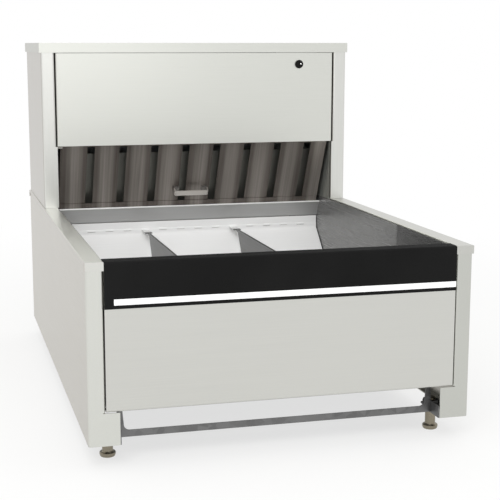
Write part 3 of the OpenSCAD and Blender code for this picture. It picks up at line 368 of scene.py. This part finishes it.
for finishName, nodeNames in nodesOfFinish.items():
    for nodeName in nodeNames:
        for slot in frame["nodes"][nodeName].material_slots:
            slot.material = materials[finishName]
print("finishes on", sum(len(names) for names in nodesOfFinish.values()), "nodes")


# Turns a mesh into a piece of the scene with its finishes
def makePiece(mesh, name, finishNames):
    bmesh.ops.recalc_face_normals(mesh, faces=mesh.faces)
    data = bpy.data.meshes.new(name)
    mesh.to_mesh(data)
    mesh.free()
    for finishName in finishNames:
        data.materials.append(materials[finishName])
    piece = bpy.data.objects.new(name, data)
    scene.collection.objects.link(piece)
    return piece


def ringAt(mesh, radius, y, count, centre):
    angles = [2 * math.pi * index / count for index in range(count)]
    return [mesh.verts.new((centre[0] + radius * math.cos(angle), y, centre[1] + radius * math.sin(angle)))
            for angle in angles]


def joinRings(mesh, first, second):
    for index, vertex in enumerate(first):
        after = (index + 1) % len(first)
        mesh.faces.new((vertex, first[after], second[after], second[index]))


def loopEdges(mesh, ring):
    return [mesh.edges.get((a, b)) or mesh.edges.new((a, b)) for a, b in zip(ring, ring[1:] + ring[:1])]


# Food screen: one folded sheet with round holes in its floor and a row of slots in its rear flange. The path
# is its side profile (y, z), from the front lip to the top of the flange.
foodScreen = {
    "path": [(-0.3146, 0.177), (-0.306, 0.0995), (0.0862, 0.0995), (0.1749, 0.1816), (0.1749, 0.2004)],
    "halfWidth": 0.2049, "thickness": 0.001, "bendRadius": 0.006, "bendSteps": 6,
    "holePitch": 0.009, "holeRadius": 0.0024, "margin": 0.012,
    "slotCount": 14, "slotPitch": 0.0275, "slotWidth": 0.012, "slotBottom": 0.1868, "slotTop": 0.1875,
    "lipTop": 0.1898, "lipReach": 0.0011, "lipSteps": 4, "weld": 2e-6,
}


def roundedPath(path, radius, steps):
    points = [Vector(path[0])]
    for before, corner, after in zip(path, path[1:], path[2:]):
        before, corner, after = Vector(before), Vector(corner), Vector(after)
        inward, outward = (corner - before).normalized(), (after - corner).normalized()
        trim = radius * math.tan(inward.angle(outward) / 2)
        start, end = corner - inward * trim, corner + outward * trim
        for step in range(steps + 1):
            share = step / steps
            points.append(start.lerp(corner, share).lerp(corner.lerp(end, share), share))
    points.append(Vector(path[-1]))
    return points


# Adds a flat strip of sheet from x0 to x1, between two points of the side profile
def addStrip(mesh, x0, x1, first, second):
    corners = [(x0, *first), (x1, *first), (x1, *second), (x0, *second)]
    mesh.faces.new([mesh.verts.new(corner) for corner in corners])


# Rear flange: rows below, beside and above the slots, and a raised lip over each slot
def slotFlange(mesh, settings, points):
    half, rearY = settings["halfWidth"], settings["path"][-1][0]
    slotBottom, slotTop, lipTop = (Vector((rearY, settings[level]))
                                   for level in ("slotBottom", "slotTop", "lipTop"))
    belowSlots = [point for point in points if abs(point.x - rearY) < sameMetres and point.y < slotBottom.y]
    bendEnd = max(belowSlots, key=lambda point: point.y)
    addStrip(mesh, -half, half, bendEnd, slotBottom)
    addStrip(mesh, -half, half, lipTop, points[-1])
    angles = [step / settings["lipSteps"] * math.pi / 2 for step in range(settings["lipSteps"] + 1)]
    lip = [Vector((rearY - settings["lipReach"] * math.cos(angle),
                   slotTop.y + (lipTop.y - slotTop.y) * math.sin(angle))) for angle in angles]
    ends = [-half]
    for index in range(settings["slotCount"]):
        middle = (index - (settings["slotCount"] - 1) / 2) * settings["slotPitch"]
        ends += [middle - settings["slotWidth"] / 2, middle + settings["slotWidth"] / 2]
    ends.append(half)
    for x0, x1 in zip(ends[0::2], ends[1::2]):
        addStrip(mesh, x0, x1, slotBottom, slotTop)
        addStrip(mesh, x0, x1, slotTop, lipTop)
    for x0, x1 in zip(ends[1::2], ends[2::2]):
        for first, second in zip(lip, lip[1:]):
            addStrip(mesh, x0, x1, first, second)


# Floor: cells with an eight-sided hole each, in staggered rows, inside a plain margin
def perforateFloor(mesh, settings, startY, endY, floorZ):
    half, margin, radius = settings["halfWidth"], settings["margin"], settings["holeRadius"]
    columnPitch = settings["holePitch"]
    rowPitch = columnPitch * math.sin(math.pi / 3)
    rows = int((endY - startY - 2 * margin) / rowPitch)
    columns = int(2 * (half - margin) / columnPitch)
    firstY = (startY + endY - rows * rowPitch) / 2
    sideX = (columns + 0.5) * columnPitch / 2
    halfCell, halfRow = columnPitch / 2, rowPitch / 2
    rim = [(halfCell, 0), (halfCell, halfRow), (0, halfRow), (-halfCell, halfRow),
           (-halfCell, 0), (-halfCell, -halfRow), (0, -halfRow), (halfCell, -halfRow)]
    angles = [2 * math.pi * corner / len(rim) for corner in range(len(rim))]
    for row in range(rows):
        middleY = firstY + (row + 0.5) * rowPitch
        stagger = columnPitch / 4 if row % 2 else -columnPitch / 4
        low, high = Vector((middleY - halfRow, floorZ)), Vector((middleY + halfRow, floorZ))
        addStrip(mesh, -half, -sideX + (halfCell if row % 2 else 0), low, high)
        addStrip(mesh, sideX - (0 if row % 2 else halfCell), half, low, high)
        for column in range(columns):
            x = (column - (columns - 1) / 2) * columnPitch + stagger
            outer = [mesh.verts.new((x + dx, middleY + dy, floorZ)) for dx, dy in rim]
            inner = [mesh.verts.new((x + radius * math.cos(a), middleY + radius * math.sin(a), floorZ))
                     for a in angles]
            joinRings(mesh, outer, inner)
    addStrip(mesh, -half, half, Vector((startY, floorZ)), Vector((firstY, floorZ)))
    addStrip(mesh, -half, half, Vector((firstY + rows * rowPitch, floorZ)), Vector((endY, floorZ)))


def buildFoodScreen(settings):
    mesh = bmesh.new()
    half, rearY, floorZ = settings["halfWidth"], settings["path"][-1][0], settings["path"][1][1]
    points = roundedPath(settings["path"], settings["bendRadius"], settings["bendSteps"])
    for first, second in zip(points, points[1:]):
        if abs(first.y - floorZ) < sameMetres and abs(second.y - floorZ) < sameMetres:
            floorStart, floorEnd = first.x, second.x
        elif second.y < settings["slotTop"] or abs(first.x - rearY) > sameMetres:
            addStrip(mesh, -half, half, first, second)
    slotFlange(mesh, settings, points)
    perforateFloor(mesh, settings, floorStart, floorEnd, floorZ)
    bmesh.ops.remove_doubles(mesh, verts=mesh.verts, dist=settings["weld"])
    piece = makePiece(mesh, "food_screen_sheet", ["paintedLightStainlessScreen"])
    sheet = piece.modifiers.new("sheet", "SOLIDIFY")
    sheet.thickness = settings["thickness"]
    sheet.offset = 0
    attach(piece, "food_screen")
    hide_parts("food_screen")


buildFoodScreen(foodScreen)
print("food screen folded and perforated")

# Rear screws: domed pan heads with a cross recess, where the plain ones stand. Each point of headProfile is a
# share of headRadius and a height above the seat.
rearScrews = {
    "levels": (0.051, 0.131, 0.213, 0.25115, 0.35195, 0.4446), "seatGap": 0.00005, "segments": 32,
    "headRadius": 0.0036, "headHeight": 0.00215, "flatRadius": 0.0023,
    "headProfile": ((1.0, 0.0), (1.0, 0.0009), (0.93, 0.0015), (0.8, 0.0019)),
    "recessArm": 0.00185, "recessWidth": 0.00055, "recessDepth": 0.0012, "recessTaper": 0.7,
    "shankRadius": 0.0019, "shankLength": 0.006,
}


def buildRearScrews(settings):
    mesh = bmesh.new()
    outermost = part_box("screws")[1].x - settings["headRadius"]
    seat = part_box("hood_rear_panel")[1].y + settings["seatGap"]
    top = seat + settings["headHeight"]
    profile = [(settings["shankRadius"], seat - settings["shankLength"]), (settings["shankRadius"], seat)]
    profile += [(settings["headRadius"] * share, seat + height) for share, height in settings["headProfile"]]
    profile.append((settings["flatRadius"], top))
    arm, width, taper = settings["recessArm"], settings["recessWidth"], settings["recessTaper"]
    cross = [(arm, -width), (arm, width), (width, width), (width, arm), (-width, arm), (-width, width),
             (-arm, width), (-arm, -width), (-width, -width), (-width, -arm), (width, -arm), (width, -width)]
    for x in (-outermost, outermost):
        for z in settings["levels"]:
            rings = [ringAt(mesh, radius, y, settings["segments"], (x, z)) for radius, y in profile]
            mesh.faces.new(rings[0])
            for first, second in zip(rings, rings[1:]):
                joinRings(mesh, first, second)
            rim = [mesh.verts.new((x + dx, top, z + dz)) for dx, dz in cross]
            bed = [mesh.verts.new((x + dx * taper, top - settings["recessDepth"], z + dz * taper))
                   for dx, dz in cross]
            joinRings(mesh, rim, bed)
            mesh.faces.new(bed)
            bmesh.ops.triangle_fill(mesh, use_beauty=True,
                                    edges=loopEdges(mesh, rings[-1]) + loopEdges(mesh, rim))
    piece = makePiece(mesh, "rear_screws", ["brightZincPlate"])
    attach(piece, "cabinet")
    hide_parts("screws")


buildRearScrews(rearScrews)
print("rear screws turned")

# Lock dot: a polished nickel rivet head beside the middle of the plug, put there as a painted highlight of the
# lock; it turns with the plug
lockHighlightDot = {"aside": 0.0025, "above": 0.0003, "sunk": 0.0001, "radius": 0.0013, "height": 0.0006,
           "rings": 5, "segments": 24}


def buildLockHighlightDot(settings):
    mesh = bmesh.new()
    middle = jointPlace["lock_turn"]
    centre = (middle[0] + settings["aside"], middle[2] + settings["above"])
    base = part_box("lock_plug")[0].y + settings["sunk"]
    angles = [step / settings["rings"] * math.pi / 2 for step in range(settings["rings"])]
    rings = [ringAt(mesh, settings["radius"] * math.cos(angle), base - settings["height"] * math.sin(angle),
                    settings["segments"], centre) for angle in angles]
    for first, second in zip(rings, rings[1:]):
        joinRings(mesh, first, second)
    for face in mesh.faces:
        face.smooth = True
    mesh.faces.new(rings[0])
    mesh.faces.new(rings[-1])
    piece = makePiece(mesh, "lock_highlight_dot", ["nickelLockPaintedHighlight"])
    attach(piece, "lock_plug")


buildLockHighlightDot(lockHighlightDot)
print("lock dot set")

# Dial: a thin ring round the thermostat's knob with raised marks. The first mark and every third after it are
# long.
dial = {"inner": 0.0172, "outer": 0.0245, "thickness": 0.0006, "proud": 0.0001, "segments": 96,
        "marks": 31, "fromAngle": -150, "toAngle": 150, "longEvery": 3, "shortMark": 0.0018,
        "longMark": 0.0036, "markWidth": 0.0006, "markHeight": 0.0003, "markInset": 0.0006}


def buildDial(settings):
    mesh = bmesh.new()
    middle = jointPlace["thermostat_turn"]
    centre = Vector((middle[0], 0, middle[2]))
    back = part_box("control_bracket")[0].y - settings["proud"]
    front = back - settings["thickness"]
    corners = ((settings["inner"], back), (settings["outer"], back),
               (settings["outer"], front), (settings["inner"], front))
    rings = [ringAt(mesh, radius, y, settings["segments"], (centre.x, centre.z)) for radius, y in corners]
    for first, second in zip(rings, rings[1:] + rings[:1]):
        joinRings(mesh, first, second)
    ringFaces = len(mesh.faces)
    for index in range(settings["marks"]):
        share = index / (settings["marks"] - 1)
        angle = math.radians(settings["fromAngle"] + share * (settings["toAngle"] - settings["fromAngle"]))
        length = settings["shortMark"] if index % settings["longEvery"] else settings["longMark"]
        mark = bmesh.ops.create_cube(mesh, size=1)["verts"]
        reach = settings["outer"] - settings["markInset"] - length / 2
        bmesh.ops.scale(mesh, verts=mark, vec=(settings["markWidth"], settings["markHeight"], length))
        bmesh.ops.translate(mesh, verts=mark, vec=(0, front, reach))
        turn = Matrix.Rotation(angle, 3, "Y")
        for vertex in mark:
            vertex.co = turn @ vertex.co + centre
    mesh.faces.ensure_lookup_table()
    for face in mesh.faces[ringFaces:]:
        face.material_index = 1
    piece = makePiece(mesh, "thermostat_dial", ["blackPhenolic", "creamUrea"])
    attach(piece, "cabinet")


buildDial(dial)
print("thermostat dial marked")

# Camera: yaw and pitch are in radians, and the shift only centres the object in the frame
camera = {"place": (-0.3857, -1.5926, 0.4655), "yaw": 0.2561, "pitch": 0.1737, "lens": 85.42, "sensor": 36,
          "shift": (0.0244, 0.0064)}
cameraData = bpy.data.cameras.new("camera")
cameraData.lens = camera["lens"]
cameraData.sensor_width = camera["sensor"]
cameraData.shift_x, cameraData.shift_y = camera["shift"]
cameraObject = bpy.data.objects.new("camera", cameraData)
cameraObject.location = camera["place"]
cameraObject.rotation_euler = (math.pi / 2 - camera["pitch"], 0, -camera["yaw"])
scene.collection.objects.link(cameraObject)
scene.camera = cameraObject

# Studio: a white room, which lights the object at worldLevel and is itself seen at backgroundLevel, and a matt
# white floor, which keeps the shadow near the object and turns plain white over shadowReach, the two distances
# from the object's middle
studio = {"worldLevel": 0.8, "backgroundLevel": 1.0, "floorSize": 14, "floorColour": "#f2f2f0",
          "floorGlow": 0.68, "shadowReach": (0.5, 1.5)}
plainWhite = (1, 1, 1, 1)


# Gives 1 for the rays that show the background: the camera's own, and those that a surface mirrors or lets
# through
def backgroundRays(tree):
    path = addNode(tree, "ShaderNodeLightPath")
    seen = addNode(tree, "ShaderNodeMath", {0: path.outputs["Is Camera Ray"],
                                            1: path.outputs["Is Glossy Ray"]},
                   operation="MAXIMUM").outputs[0]
    return addNode(tree, "ShaderNodeMath", {0: seen, 1: path.outputs["Is Transmission Ray"]},
                   operation="MAXIMUM").outputs[0]


def whiteRoom(settings):
    world = bpy.data.worlds.new("studio")
    scene.world = world
    world.use_nodes = True
    tree = world.node_tree
    tree.nodes.clear()
    level = addNode(tree, "ShaderNodeMapRange", {"Value": backgroundRays(tree),
                                                 "To Min": settings["worldLevel"],
                                                 "To Max": settings["backgroundLevel"]}).outputs[0]
    background = addNode(tree, "ShaderNodeBackground", {"Color": plainWhite, "Strength": level})
    addNode(tree, "ShaderNodeOutputWorld", {"Surface": background.outputs[0]})


# Matt white board: diffuse for the light, and partly the white background itself where it is seen
def matteWhiteBoard(settings):
    material = bpy.data.materials.new("matteWhiteBoard")
    material.use_nodes = True
    tree = material.node_tree
    tree.nodes.clear()
    place = addNode(tree, "ShaderNodeNewGeometry").outputs["Position"]
    distance = addNode(tree, "ShaderNodeVectorMath", {0: place}, operation="LENGTH").outputs["Value"]
    near, far = settings["shadowReach"]
    sweep = addNode(tree, "ShaderNodeMapRange", {"Value": distance, "From Min": near, "From Max": far,
                                                 "To Min": settings["floorGlow"]},
                    interpolation_type="SMOOTHSTEP").outputs[0]
    glow = addNode(tree, "ShaderNodeMath", {0: backgroundRays(tree), 1: sweep},
                   operation="MULTIPLY").outputs[0]
    board = addNode(tree, "ShaderNodeBsdfDiffuse", {"Color": hexToLinear(settings["floorColour"])}).outputs[0]
    white = addNode(tree, "ShaderNodeEmission", {"Color": plainWhite,
                                                 "Strength": settings["backgroundLevel"]}).outputs[0]
    surface = addNode(tree, "ShaderNodeMixShader", {0: glow, 1: board, 2: white}).outputs[0]
    addNode(tree, "ShaderNodeOutputMaterial", {"Surface": surface})
    return material


whiteRoom(studio)
floorMesh = bpy.data.meshes.new("floor")
side = studio["floorSize"] / 2
floorMesh.from_pydata([(-side, -side, 0), (side, -side, 0), (side, side, 0), (-side, side, 0)],
                      [], [(0, 1, 2, 3)])
floorMesh.materials.append(matteWhiteBoard(studio))
floor = bpy.data.objects.new("floor", floorMesh)
scene.collection.objects.link(floor)

# Soft square lamps, all aimed at the middle of the basin
lampAim = Vector((0, 0, 0.2))
lamps = {
    "keyLamp": {"place": (-0.95, -2.2, 2.35), "size": 1.6, "power": 34},
    "frontLamp": {"place": (-0.1, -3.0, 1.0), "size": 1.3, "power": 5},
    "topLamp": {"place": (0.0, 0.2, 2.8), "size": 2.4, "power": 10},
}
for lampName, lamp in lamps.items():
    lampData = bpy.data.lights.new(lampName, "AREA")
    lampData.size = lamp["size"]
    lampData.energy = lamp["power"]
    lampObject = bpy.data.objects.new(lampName, lampData)
    lampObject.location = lamp["place"]
    lampObject.rotation_euler = (lampAim - Vector(lamp["place"])).to_track_quat("-Z", "Y").to_euler()
    scene.collection.objects.link(lampObject)
scene.view_settings.view_transform = "Standard"
print("camera, floor and lamps placed")
